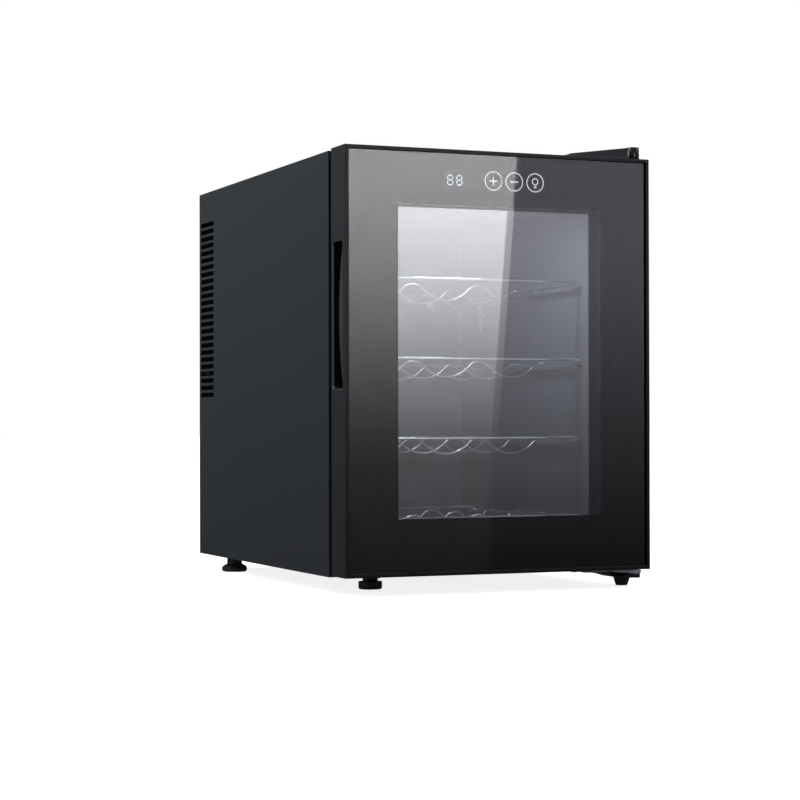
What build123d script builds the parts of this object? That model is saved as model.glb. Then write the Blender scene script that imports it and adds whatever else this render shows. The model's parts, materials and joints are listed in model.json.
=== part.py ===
"""A countertop thermoelectric wine cooler with a glass door, as separate pieces.

Millimetres. +X is to the right of someone facing the door, +Y towards the back, +Z up.
The origin is on the floor, under the middle of the cooler.
"""
from build123d import *

import math
import os

# ---------------------------------------------------------------- driving dimensions
WIDTH = 345.0
DEPTH = 493.0
FOOT_HEIGHT = 18.0
CABINET_HEIGHT = 433.5
DOOR_THICKNESS = 39.5
DOOR_GAP = 7.5
DOOR_BOTTOM = 19.6
DOOR_TOP = 453.0

SHEET = 0.8          # steel sheet
LINER = 1.5          # moulded liner wall
CAVITY_HALF_WIDTH = 122.0
CAVITY_BOTTOM = 54.0
CAVITY_TOP = 406.0
CAVITY_BACK = 130.0
CAVITY_CORNER = 8.0
BULKHEAD_FRONT = 165.0

SHELF_COUNT = 4
SHELF_LOWEST = 74.4   # height of the lowest shelf's front bar
SHELF_PITCH = 83.6
BOTTLE_PITCH = 78.4

HINGE_X = 162.5
HINGE_PIN_RADIUS = 3.0
RUNNING_CLEARANCE = 0.05

# ---------------------------------------------------------------- places worked out
HALF_WIDTH = WIDTH / 2
BACK = DEPTH / 2
FRONT = -DEPTH / 2
DOOR_BACK = FRONT + DOOR_THICKNESS
CABINET_FRONT = DOOR_BACK + DOOR_GAP
CABINET_BOTTOM = FOOT_HEIGHT
CABINET_TOP = CABINET_BOTTOM + CABINET_HEIGHT
INSIDE_X = HALF_WIDTH - SHEET
INSIDE_BOTTOM = CABINET_BOTTOM + SHEET
INSIDE_TOP = CABINET_TOP - SHEET
INSIDE_HEIGHT = INSIDE_TOP - INSIDE_BOTTOM
INSIDE_MIDDLE = (INSIDE_TOP + INSIDE_BOTTOM) / 2
CAVITY_HEIGHT = CAVITY_TOP - CAVITY_BOTTOM
CAVITY_MIDDLE = (CAVITY_TOP + CAVITY_BOTTOM) / 2
BULKHEAD_BACK = BULKHEAD_FRONT + SHEET
REAR_PANEL_BACK = BACK - 2.4
REAR_PANEL_FRONT = REAR_PANEL_BACK - SHEET
HINGE_Y = DOOR_BACK - 20.0
COOLER_Z = CAVITY_MIDDLE  # height of the cooling unit's centre

os.makedirs("parts", exist_ok=True)


def keep(piece, name):
    """Label a finished piece and write it to its own STEP file."""
    piece.part.label = name
    export_step(piece.part, f"parts/{name}.step")


def facing(y):
    """A sketch plane across the cooler at depth y; extruding goes towards the front."""
    return Plane.XZ.offset(-y)


def block(low, high, mode=Mode.ADD):
    """A box between two opposite corners."""
    size = [b - a for a, b in zip(low, high)]
    centre = [(a + b) / 2 for a, b in zip(low, high)]
    with Locations(tuple(centre)):
        Box(*size, mode=mode)


def rod_along(axis, centre, radius, length, mode=Mode.ADD):
    """A cylinder centred at a point, along the X, Y or Z axis."""
    turn = {"x": (0, 90, 0), "y": (90, 0, 0), "z": (0, 0, 0)}[axis]
    with Locations(Location(centre, turn)):
        Cylinder(radius, length, mode=mode)


SCREW_HEAD_RADIUS = 3.8
SCREW_HEAD_HEIGHT = 2.2
SCREW_RADIUS = 2.0
SCREW_HOLE = 2.1
CROSS_WIDTH = 0.9     # the cross-shaped driver recess
CROSS_DEPTH = 1.2


def screws(points, direction, length):
    """Cross-head screws with their heads' undersides at the points, heads facing direction."""
    for point in points:
        with BuildSketch(Plane(origin=point, z_dir=direction)) as head:
            Circle(SCREW_HEAD_RADIUS)
        extrude(head.sketch, amount=SCREW_HEAD_HEIGHT)
        with BuildSketch(Plane(origin=point, z_dir=direction)) as shank:
            Circle(SCREW_RADIUS)
        extrude(shank.sketch, amount=-length)
        top = Vector(*point) + Vector(*direction) * SCREW_HEAD_HEIGHT
        with BuildSketch(Plane(origin=top, z_dir=direction)) as cross:
            Rectangle(CROSS_WIDTH, 1.3 * SCREW_HEAD_RADIUS)
            Rectangle(1.3 * SCREW_HEAD_RADIUS, CROSS_WIDTH)
        extrude(cross.sketch, amount=-CROSS_DEPTH, mode=Mode.SUBTRACT)


# ---------------------------------------------------------------- outer sheet metal
VENT_COUNT = 25
VENT_PITCH = 8.5
VENT_LENGTH = 51.0
VENT_HEIGHT = 5.4
VENT_CENTRE = (BACK - 6.0 - VENT_LENGTH / 2, 311.0)
REAR_FLANGE = 12.0
REAR_SCREW_X = 165.5
REAR_SCREW_Z = (40.0, 235.0, 430.0)


def side_panel(side, name):
    """One side sheet with a column of vent slots and a narrow flange at the back."""
    sheet_x = INSIDE_X if side > 0 else -HALF_WIDTH
    with BuildPart() as panel:
        with BuildSketch(Plane.YZ.offset(sheet_x)):
            with Locations(((CABINET_FRONT + BACK) / 2, CABINET_BOTTOM + CABINET_HEIGHT / 2)):
                Rectangle(BACK - CABINET_FRONT, CABINET_HEIGHT)
            with Locations(VENT_CENTRE):
                with GridLocations(0, VENT_PITCH, 1, VENT_COUNT):
                    SlotOverall(VENT_LENGTH, VENT_HEIGHT, mode=Mode.SUBTRACT)
        extrude(amount=SHEET)
        flange_x = sorted((side * INSIDE_X, side * (INSIDE_X - REAR_FLANGE)))
        block((flange_x[0], REAR_PANEL_FRONT - SHEET, INSIDE_BOTTOM),
              (flange_x[1], REAR_PANEL_FRONT, INSIDE_TOP))
        with BuildSketch(facing(REAR_PANEL_FRONT)):
            with Locations(*[(side * REAR_SCREW_X, z) for z in REAR_SCREW_Z]):
                Circle(SCREW_HOLE)
        extrude(amount=SHEET, mode=Mode.SUBTRACT)
    keep(panel, name)


side_panel(-1, "side_panel_left")
side_panel(1, "side_panel_right")

# Screws that hold the hinge brackets to the cabinet
UPPER_SCREWS = [(100.0, -181.0), (124.0, -181.0), (148.0, -181.0)]
LOWER_SCREWS = [(122.0, -168.0), (140.0, -168.0), (158.0, -168.0)]
# The two levelling feet: one under the free end of the door, one in the lower hinge
LEFT_FOOT = (-104.0, -140.0)
RIGHT_FOOT = (HINGE_X, CABINET_FRONT - 1.0)

with BuildPart() as top_panel:
    block((-INSIDE_X, CABINET_FRONT, INSIDE_TOP), (INSIDE_X, BACK, CABINET_TOP))
    with BuildSketch(Plane.XY.offset(INSIDE_TOP)):
        with Locations(*UPPER_SCREWS):
            Circle(SCREW_HOLE)
    extrude(amount=SHEET, mode=Mode.SUBTRACT)
keep(top_panel, "top_panel")

FOOT_STUD = 4.0
FOOT_STUD_TOP = 30.0
with BuildPart() as base_panel:
    block((-INSIDE_X, CABINET_FRONT, CABINET_BOTTOM), (INSIDE_X, BACK, INSIDE_BOTTOM))
    with BuildSketch(Plane.XY.offset(CABINET_BOTTOM)):
        with Locations(*LOWER_SCREWS):
            Circle(SCREW_HOLE)
        with Locations(LEFT_FOOT):
            Circle(FOOT_STUD + 1.0)
    extrude(amount=SHEET, mode=Mode.SUBTRACT)
keep(base_panel, "base_panel")

# The back: a sheet with a round fan grille, a lower air intake and the mains inlet's cut-out
INLET_CENTRE = (118.0, 62.0)
INLET_BODY = (27.4, 19.8)
FAN_GRILLE_RADIUS = 45.0
GRILLE_PITCH = 8.0
GRILLE_SLOT = 4.0


def grille_rows(radius, mode):
    """Horizontal slots that fill a circle, each as long as its chord."""
    count = int(radius / GRILLE_PITCH)
    for row in range(-count, count + 1):
        height = row * GRILLE_PITCH
        chord = 2 * math.sqrt(radius**2 - height**2)
        if chord > 3 * GRILLE_SLOT:
            with Locations((0, height)):
                SlotOverall(chord, GRILLE_SLOT, mode=mode)


with BuildPart() as rear_panel:
    block((-INSIDE_X, REAR_PANEL_FRONT, INSIDE_BOTTOM), (INSIDE_X, REAR_PANEL_BACK, INSIDE_TOP))
    with BuildSketch(facing(REAR_PANEL_BACK)):
        with Locations((0, COOLER_Z)):
            grille_rows(FAN_GRILLE_RADIUS, Mode.ADD)
        with Locations((-60, 80)):
            with GridLocations(0, GRILLE_PITCH, 1, 7):
                SlotOverall(110, GRILLE_SLOT)
        with Locations(INLET_CENTRE):
            Rectangle(*INLET_BODY)
        with Locations(*[(side * REAR_SCREW_X, z) for side in (-1, 1) for z in REAR_SCREW_Z]):
            Circle(SCREW_HOLE)
    extrude(amount=SHEET, mode=Mode.SUBTRACT)
keep(rear_panel, "rear_panel")

with BuildPart() as rear_panel_screws:
    heads = [(side * REAR_SCREW_X, REAR_PANEL_BACK, z) for side in (-1, 1) for z in REAR_SCREW_Z]
    screws(heads, (0, 1, 0), 9.0)
keep(rear_panel_screws, "rear_panel_screws")

# ---------------------------------------------------------------- insulated box
LINER_FRONT = CABINET_FRONT + SHEET
FACE_OVERLAP = 1.0    # how far the face frame's opening stands back from the cavity's walls
with BuildPart() as face_frame:
    with BuildSketch(facing(LINER_FRONT)):
        with Locations((0, INSIDE_MIDDLE)):
            Rectangle(2 * INSIDE_X, INSIDE_HEIGHT)
        with Locations((0, CAVITY_MIDDLE)):
            RectangleRounded(2 * (CAVITY_HALF_WIDTH + FACE_OVERLAP),
                             CAVITY_HEIGHT + 2 * FACE_OVERLAP,
                             CAVITY_CORNER + FACE_OVERLAP, mode=Mode.SUBTRACT)
    extrude(amount=SHEET)
keep(face_frame, "face_frame")

POCKET_HALF_WIDTH = 65.0
POCKET_HALF_HEIGHT = 80.0
POCKET_DEPTH = 16.0
BLOCK_HOLE = 26.0       # half side of the hole that the cold block passes through
POCKET_BACK = CAVITY_BACK + POCKET_DEPTH
FLANGE_BACK = LINER_FRONT + LINER
LEDGE_LENGTH = (-186.0, 98.0)
LEDGE_WIDTH = 8.0
LEDGE_THICKNESS = 3.0

# A shelf: two side rods, a front and a back bar, and waved wires that cradle the bottles
ROD_RADIUS = 1.7
WAVE_RADIUS = 1.35
WELD_GAP = 0.02
SIDE_ROD_X = 1.5 * BOTTLE_PITCH
SHELF_FRONT = -180.0
SHELF_BACK = 92.0
WAVE_YS = (-100.0, -35.0, 30.0)
WAVE_DROP = 17.0
TROUGH_RADIUS = 36.0


def bar_height(shelf):
    """Height of a shelf's front bar and of its waves' crests; shelf 1 is the top one."""
    return SHELF_LOWEST + (SHELF_COUNT - shelf) * SHELF_PITCH


def side_rod_height(shelf):
    """The side rods pass under the waves' crests."""
    return bar_height(shelf) - WAVE_RADIUS - ROD_RADIUS - WELD_GAP


with BuildPart() as inner_liner:
    with BuildSketch(facing(FLANGE_BACK)):
        with Locations((0, INSIDE_MIDDLE)):
            Rectangle(2 * INSIDE_X, INSIDE_HEIGHT)
    extrude(amount=LINER)
    with BuildSketch(facing(CAVITY_BACK + LINER)):
        with Locations((0, CAVITY_MIDDLE)):
            RectangleRounded(2 * (CAVITY_HALF_WIDTH + LINER), CAVITY_HEIGHT + 2 * LINER,
                             CAVITY_CORNER + LINER)
    extrude(amount=CAVITY_BACK + LINER - FLANGE_BACK)
    block((-POCKET_HALF_WIDTH - LINER, CAVITY_BACK, COOLER_Z - POCKET_HALF_HEIGHT - LINER),
          (POCKET_HALF_WIDTH + LINER, POCKET_BACK + LINER, COOLER_Z + POCKET_HALF_HEIGHT + LINER))
    with BuildSketch(facing(CAVITY_BACK)):
        with Locations((0, CAVITY_MIDDLE)):
            RectangleRounded(2 * CAVITY_HALF_WIDTH, CAVITY_HEIGHT, CAVITY_CORNER)
    extrude(amount=CAVITY_BACK - LINER_FRONT, mode=Mode.SUBTRACT)
    block((-POCKET_HALF_WIDTH, CAVITY_BACK, COOLER_Z - POCKET_HALF_HEIGHT),
          (POCKET_HALF_WIDTH, POCKET_BACK, COOLER_Z + POCKET_HALF_HEIGHT), mode=Mode.SUBTRACT)
    block((-BLOCK_HOLE, POCKET_BACK, COOLER_Z - BLOCK_HOLE),
          (BLOCK_HOLE, POCKET_BACK + LINER, COOLER_Z + BLOCK_HOLE), mode=Mode.SUBTRACT)
    for shelf_number in range(1, SHELF_COUNT + 1):
        ledge_top = side_rod_height(shelf_number) - ROD_RADIUS
        for ledge_x in (-CAVITY_HALF_WIDTH, CAVITY_HALF_WIDTH - LEDGE_WIDTH):
            block((ledge_x, LEDGE_LENGTH[0], ledge_top - LEDGE_THICKNESS),
                  (ledge_x + LEDGE_WIDTH, LEDGE_LENGTH[1], ledge_top))
keep(inner_liner, "inner_liner")

FOOT_POCKET_RADIUS = 7.0
with BuildPart() as insulation_foam:
    block((-INSIDE_X, FLANGE_BACK, INSIDE_BOTTOM), (INSIDE_X, BULKHEAD_FRONT, INSIDE_TOP))
    with BuildSketch(facing(CAVITY_BACK + LINER)):
        with Locations((0, CAVITY_MIDDLE)):
            RectangleRounded(2 * (CAVITY_HALF_WIDTH + LINER), CAVITY_HEIGHT + 2 * LINER,
                             CAVITY_CORNER + LINER)
    extrude(amount=CAVITY_BACK + LINER - FLANGE_BACK, mode=Mode.SUBTRACT)
    block((-POCKET_HALF_WIDTH - LINER, CAVITY_BACK, COOLER_Z - POCKET_HALF_HEIGHT - LINER),
          (POCKET_HALF_WIDTH + LINER, POCKET_BACK + LINER, COOLER_Z + POCKET_HALF_HEIGHT + LINER),
          mode=Mode.SUBTRACT)
    block((-BLOCK_HOLE, POCKET_BACK, COOLER_Z - BLOCK_HOLE),
          (BLOCK_HOLE, BULKHEAD_FRONT, COOLER_Z + BLOCK_HOLE), mode=Mode.SUBTRACT)
    with BuildSketch(Plane.XY.offset(INSIDE_BOTTOM)):
        with Locations(LEFT_FOOT):
            Circle(FOOT_POCKET_RADIUS)
    extrude(amount=FOOT_STUD_TOP + 2 - INSIDE_BOTTOM, mode=Mode.SUBTRACT)
keep(insulation_foam, "insulation_foam")

with BuildPart() as rear_bulkhead:
    block((-INSIDE_X, BULKHEAD_FRONT, INSIDE_BOTTOM), (INSIDE_X, BULKHEAD_BACK, INSIDE_TOP))
    block((-BLOCK_HOLE, BULKHEAD_FRONT, COOLER_Z - BLOCK_HOLE),
          (BLOCK_HOLE, BULKHEAD_BACK, COOLER_Z + BLOCK_HOLE), mode=Mode.SUBTRACT)
keep(rear_bulkhead, "rear_bulkhead")

# ---------------------------------------------------------------- cavity light and probe
LIGHT_HALF = (45.0, 8.0)
LIGHT_Y = -187.0
LIGHT_DEPTH = 3.2
LENS_WALL = 1.0
LED_BOARD = 0.8
LED_HEIGHT = 0.6
with BuildPart() as light_lens:
    block((-LIGHT_HALF[0], LIGHT_Y - LIGHT_HALF[1], CAVITY_TOP - LIGHT_DEPTH),
          (LIGHT_HALF[0], LIGHT_Y + LIGHT_HALF[1], CAVITY_TOP))
    fillet(light_lens.edges().group_by(Axis.Z)[0], radius=0.8)
    block((-LIGHT_HALF[0] + LENS_WALL, LIGHT_Y - LIGHT_HALF[1] + LENS_WALL,
           CAVITY_TOP - LIGHT_DEPTH + LENS_WALL),
          (LIGHT_HALF[0] - LENS_WALL, LIGHT_Y + LIGHT_HALF[1] - LENS_WALL, CAVITY_TOP),
          mode=Mode.SUBTRACT)
keep(light_lens, "light_lens")

LED_COUNT = 6
with BuildPart() as led_board:
    block((-LIGHT_HALF[0] + 3, LIGHT_Y - 5, CAVITY_TOP - LED_BOARD),
          (LIGHT_HALF[0] - 3, LIGHT_Y + 5, CAVITY_TOP))
    with Locations((0, LIGHT_Y, CAVITY_TOP - LED_BOARD - LED_HEIGHT / 2)):
        with GridLocations(14, 0, LED_COUNT, 1):
            Box(5, 5, LED_HEIGHT)
keep(led_board, "led_board")

PROBE = (CAVITY_HALF_WIDTH - 3.5, 70.0, 296.0)
PROBE_RADIUS = 3.0
PROBE_LENGTH = 28.0
with BuildPart() as temperature_probe:
    rod_along("z", (PROBE[0], PROBE[1], PROBE[2]), PROBE_RADIUS, PROBE_LENGTH)
    with Locations((PROBE[0], PROBE[1], PROBE[2] + PROBE_LENGTH / 2)):
        Sphere(PROBE_RADIUS)
    for clip_z in (PROBE[2] - 6, PROBE[2] + 6):
        block((PROBE[0], PROBE[1] - 6, clip_z - 2), (CAVITY_HALF_WIDTH, PROBE[1] + 6, clip_z + 2))
keep(temperature_probe, "temperature_probe")

# ---------------------------------------------------------------- thermoelectric unit
COLD_BASE = 4.0
COLD_BASE_FRONT = POCKET_BACK - COLD_BASE
PELTIER_FRONT = BULKHEAD_BACK - 4.8


def finned_sink(half_width, half_height, base_back, base_thickness, fin_tip, fin_count, fin_wall):
    """A base plate with upright fins; the fins reach from the base to fin_tip."""
    base_front = base_back - base_thickness
    block((-half_width, base_front, COOLER_Z - half_height),
          (half_width, base_back, COOLER_Z + half_height))
    fin_start = base_front if fin_tip < base_front else base_back
    step = (2 * half_width - fin_wall) / (fin_count - 1)
    with Locations((0, (fin_start + fin_tip) / 2, COOLER_Z)):
        with GridLocations(step, 0, fin_count, 1):
            Box(fin_wall, abs(fin_start - fin_tip), 2 * half_height)


with BuildPart() as cold_sink:
    finned_sink(55.0, 55.0, POCKET_BACK, COLD_BASE, CAVITY_BACK, 15, 1.5)
keep(cold_sink, "cold_sink")

with BuildPart() as cold_block:
    block((-25, POCKET_BACK, COOLER_Z - 25), (25, PELTIER_FRONT, COOLER_Z + 25))
keep(cold_block, "cold_block")

CERAMIC = 0.8
with BuildPart() as peltier_module:
    block((-20, PELTIER_FRONT, COOLER_Z - 20), (20, PELTIER_FRONT + CERAMIC, COOLER_Z + 20))
    block((-18.5, PELTIER_FRONT + CERAMIC, COOLER_Z - 18.5),
          (18.5, BULKHEAD_BACK - CERAMIC, COOLER_Z + 18.5))
    block((-20, BULKHEAD_BACK - CERAMIC, COOLER_Z - 20), (20, BULKHEAD_BACK, COOLER_Z + 20))
keep(peltier_module, "peltier_module")

HOT_FIN_TIP = 202.0
with BuildPart() as hot_sink:
    finned_sink(60.0, 60.0, BULKHEAD_BACK + 6.0, 6.0, HOT_FIN_TIP, 19, 1.2)
keep(hot_sink, "hot_sink")

# ---------------------------------------------------------------- fans
SHAFT_RADIUS = 1.5
BLADE_COUNT = 7
BLADE_PITCH = math.radians(50)
BLADE_THICKNESS = 1.4
BLADE_ROOT = 0.6      # how far a blade's root reaches into the hub
FRAME_PLATE = 2.5     # thickness of the motor plate and its struts
MOTOR_PLATE_RADIUS = 15.0
BEARING_RADIUS = 4.0
BEARING_REACH = 8.0


def fan_frame(half, front, depth, bore, strut_at_back):
    """A square fan frame: round duct, motor plate on four struts, bearing tube."""
    back = front + depth
    with BuildSketch(facing(back)) as square:
        with Locations((0, COOLER_Z)):
            RectangleRounded(2 * half, 2 * half, 5.0)
    extrude(square.sketch, amount=depth)
    rod_along("y", (0, (front + back) / 2, COOLER_Z), bore, depth + 1, mode=Mode.SUBTRACT)
    plate = (back - FRAME_PLATE, back) if strut_at_back else (front, front + FRAME_PLATE)
    plate_y = sum(plate) / 2
    rod_along("y", (0, plate_y, COOLER_Z), MOTOR_PLATE_RADIUS, FRAME_PLATE)
    block((-bore - 1, plate[0], COOLER_Z - 2), (bore + 1, plate[1], COOLER_Z + 2))
    block((-2, plate[0], COOLER_Z - bore - 1), (2, plate[1], COOLER_Z + bore + 1))
    inner_end = plate[0] - BEARING_REACH if strut_at_back else plate[1] + BEARING_REACH
    outer_end = plate[1] if strut_at_back else plate[0]
    tube_y = (inner_end + outer_end) / 2
    rod_along("y", (0, tube_y, COOLER_Z), BEARING_RADIUS, abs(outer_end - inner_end))
    rod_along("y", (0, tube_y, COOLER_Z), SHAFT_RADIUS + RUNNING_CLEARANCE, 30, mode=Mode.SUBTRACT)


def fan_rotor(hub, tip, cup, wall, shaft):
    """A rotor: hub cup with its closed end at cup[0], pitched blades and a shaft."""
    closed, opened = cup
    inward = 1 if opened > closed else -1
    rod_along("y", (0, (closed + opened) / 2, COOLER_Z), hub, abs(opened - closed))
    inner = closed + inward * wall
    rod_along("y", (0, (inner + opened) / 2, COOLER_Z), hub - wall, abs(opened - inner),
              mode=Mode.SUBTRACT)
    rod_along("y", (0, (closed + shaft) / 2, COOLER_Z), SHAFT_RADIUS, abs(shaft - closed))
    chord = 0.9 * abs(opened - closed) / math.cos(BLADE_PITCH)
    for blade in range(BLADE_COUNT):
        angle = math.radians(360 / BLADE_COUNT * blade)
        outward = Vector(math.cos(angle), 0, math.sin(angle))
        around = Vector(-math.sin(angle), 0, math.cos(angle))
        pitched = around * math.sin(BLADE_PITCH) + Vector(0, math.cos(BLADE_PITCH), 0)
        root = Vector(0, (closed + opened) / 2, COOLER_Z) + outward * (hub - BLADE_ROOT)
        with BuildSketch(Plane(origin=root, x_dir=pitched, z_dir=outward)) as section:
            Rectangle(chord, BLADE_THICKNESS)
        extrude(section.sketch, amount=tip - hub + BLADE_ROOT)


EXHAUST_FRONT = HOT_FIN_TIP
EXHAUST_DEPTH = 25.0
EXHAUST_HALF = 46.0
EXHAUST_SCREW = 41.25
FAN_SCREW_HOLE = 2.2
with BuildPart() as exhaust_fan_frame:
    fan_frame(EXHAUST_HALF, EXHAUST_FRONT, EXHAUST_DEPTH, 43.5, strut_at_back=True)
    with BuildSketch(facing(EXHAUST_FRONT + EXHAUST_DEPTH)):
        with Locations((0, COOLER_Z)):
            with GridLocations(2 * EXHAUST_SCREW, 2 * EXHAUST_SCREW, 2, 2):
                Circle(FAN_SCREW_HOLE)
    extrude(amount=EXHAUST_DEPTH, mode=Mode.SUBTRACT)
keep(exhaust_fan_frame, "exhaust_fan_frame")

with BuildPart() as exhaust_fan_rotor:
    fan_rotor(17.0, 41.5, (EXHAUST_FRONT + 2, EXHAUST_FRONT + 21.5), 2.0, EXHAUST_FRONT + 24)
keep(exhaust_fan_rotor, "exhaust_fan_rotor")

INNER_FAN_DEPTH = 15.0
INNER_FAN_FRONT = CAVITY_BACK - INNER_FAN_DEPTH
with BuildPart() as inner_fan_frame:
    fan_frame(40.0, INNER_FAN_FRONT, INNER_FAN_DEPTH, 37.5, strut_at_back=False)
keep(inner_fan_frame, "inner_fan_frame")

with BuildPart() as inner_fan_rotor:
    fan_rotor(14.5, 35.5, (INNER_FAN_FRONT + 14, INNER_FAN_FRONT + 3.5), 1.5,
              INNER_FAN_FRONT + 1)
keep(inner_fan_rotor, "inner_fan_rotor")

COVER_FRONT = 103.0
COVER_HALF = (74.0, 89.0)
COVER_WALL = 2.0
POST_PLACES = [(x, COOLER_Z + z) for x in (-69.0, 69.0) for z in (-84.0, 84.0)]
POST_RADIUS = 4.2
COVER_GRILLE_RADIUS = 36.0
SIDE_SLOT = (4.0, 24.0)    # the cover's side outlets: depth and height
SIDE_SLOT_YS = (116.0, 123.0)
SIDE_SLOT_Z = 60.0
with BuildPart() as inner_fan_cover:
    block((-COVER_HALF[0], COVER_FRONT, COOLER_Z - COVER_HALF[1]),
          (COVER_HALF[0], CAVITY_BACK, COOLER_Z + COVER_HALF[1]))
    fillet(inner_fan_cover.edges().filter_by(Axis.Y), radius=8.0)
    fillet(inner_fan_cover.edges().group_by(Axis.Y)[0], radius=1.5)
    block((-COVER_HALF[0] + COVER_WALL, COVER_FRONT + COVER_WALL,
           COOLER_Z - COVER_HALF[1] + COVER_WALL),
          (COVER_HALF[0] - COVER_WALL, CAVITY_BACK, COOLER_Z + COVER_HALF[1] - COVER_WALL),
          mode=Mode.SUBTRACT)
    with BuildSketch(facing(CAVITY_BACK)):
        with Locations(*POST_PLACES):
            Circle(POST_RADIUS)
    extrude(amount=CAVITY_BACK - COVER_FRONT - COVER_WALL / 2)
    with BuildSketch(facing(CAVITY_BACK)):
        with Locations(*POST_PLACES):
            Circle(SCREW_HOLE)
    extrude(amount=CAVITY_BACK - COVER_FRONT, mode=Mode.SUBTRACT)
    with BuildSketch(facing(COVER_FRONT + COVER_WALL)):
        with Locations((0, COOLER_Z)):
            grille_rows(COVER_GRILLE_RADIUS, Mode.ADD)
    extrude(amount=COVER_WALL, mode=Mode.SUBTRACT)
    for slot_z in (COOLER_Z - SIDE_SLOT_Z, COOLER_Z + SIDE_SLOT_Z):
        for slot_y in SIDE_SLOT_YS:
            with Locations((0, slot_y, slot_z)):
                Box(2 * COVER_HALF[0] + 2, SIDE_SLOT[0], SIDE_SLOT[1], mode=Mode.SUBTRACT)
keep(inner_fan_cover, "inner_fan_cover")

with BuildPart() as fan_screws:
    screws([(x, EXHAUST_FRONT + EXHAUST_DEPTH, COOLER_Z + z)
            for x in (-EXHAUST_SCREW, EXHAUST_SCREW) for z in (-EXHAUST_SCREW, EXHAUST_SCREW)],
           (0, 1, 0), EXHAUST_DEPTH + 8)
    screws([(x, COVER_FRONT, z) for x, z in POST_PLACES],
           (0, -1, 0), 34)
keep(fan_screws, "fan_screws")

# ---------------------------------------------------------------- power supply and inlet
BOARD_FRONT = BULKHEAD_BACK + 12.0
BOARD_X = (-150.0, -20.0)
BOARD_Z = (40.0, 128.0)
BOARD_THICKNESS = 1.6
BOARD_POST_INSET = 6.0
BOARD_POST_RADIUS = 3.0
with BuildPart() as power_board:
    block((BOARD_X[0], BOARD_FRONT, BOARD_Z[0]),
          (BOARD_X[1], BOARD_FRONT + BOARD_THICKNESS, BOARD_Z[1]))
    for post_x in (BOARD_X[0] + BOARD_POST_INSET, BOARD_X[1] - BOARD_POST_INSET):
        for post_z in (BOARD_Z[0] + BOARD_POST_INSET, BOARD_Z[1] - BOARD_POST_INSET):
            rod_along("y", (post_x, (BULKHEAD_BACK + BOARD_FRONT) / 2, post_z),
                      BOARD_POST_RADIUS, BOARD_FRONT - BULKHEAD_BACK)
keep(power_board, "power_board")

# What stands on the board, as (x range, z range, height) or (x, z, radius, height)
TRANSFORMER = ((-110.0, -74.0), (66.0, 102.0), 27.0)
TRANSFORMER_CAP = ((-106.0, -78.0), (72.0, 96.0), 30.0)
HEATSINK_PLATE = ((-66.0, -30.0), (84.0, 87.0), 26.0)
TERMINAL_BLOCK = ((-144.0, -134.0), (66.0, 104.0), 14.0)
CAPACITORS = [(-54.0, 60.0, 9.0, 28.0), (-33.0, 60.0, 6.5, 24.0)]

with BuildPart() as power_components:
    parts_y = BOARD_FRONT + BOARD_THICKNESS
    for x_range, z_range, rise in (TRANSFORMER, TRANSFORMER_CAP, HEATSINK_PLATE, TERMINAL_BLOCK):
        block((x_range[0], parts_y, z_range[0]), (x_range[1], parts_y + rise, z_range[1]))
    for can_x, can_z, can_radius, rise in CAPACITORS:
        rod_along("y", (can_x, parts_y + rise / 2, can_z), can_radius, rise)
keep(power_components, "power_components")

SOCKET_MOUTH = (24.0, 16.4)
SOCKET_DEPTH = 17.0
SOCKET_FLANGE = (33.0, 25.0)
PIN_RECESS = 5.5      # how far the pins' tips stand behind the socket's mouth
PIN_SECTION = (2.0, 4.0)
PIN_SPREAD = 7.0      # live and neutral pins stand this far to each side of the earth pin
with BuildPart() as power_inlet:
    with BuildSketch(facing(BACK)):
        with Locations(INLET_CENTRE):
            RectangleRounded(*SOCKET_FLANGE, 2.5)
    extrude(amount=BACK - REAR_PANEL_BACK)
    with BuildSketch(facing(REAR_PANEL_BACK)):
        with Locations(INLET_CENTRE):
            Rectangle(INLET_BODY[0] - 0.2, INLET_BODY[1] - 0.2)
    extrude(amount=20)
    with BuildSketch(facing(BACK)):
        with Locations(INLET_CENTRE):
            Rectangle(*SOCKET_MOUTH)
    extrude(amount=SOCKET_DEPTH, mode=Mode.SUBTRACT)
keep(power_inlet, "power_inlet")

with BuildPart() as inlet_pins:
    with BuildSketch(facing(BACK - PIN_RECESS)):
        with Locations((INLET_CENTRE[0], INLET_CENTRE[1] + 2)):
            Rectangle(*PIN_SECTION)
        for pin_x in (-PIN_SPREAD, PIN_SPREAD):
            with Locations((INLET_CENTRE[0] + pin_x, INLET_CENTRE[1] - 2)):
                Rectangle(*PIN_SECTION)
    extrude(amount=SOCKET_DEPTH - PIN_RECESS)
keep(inlet_pins, "inlet_pins")

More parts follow.
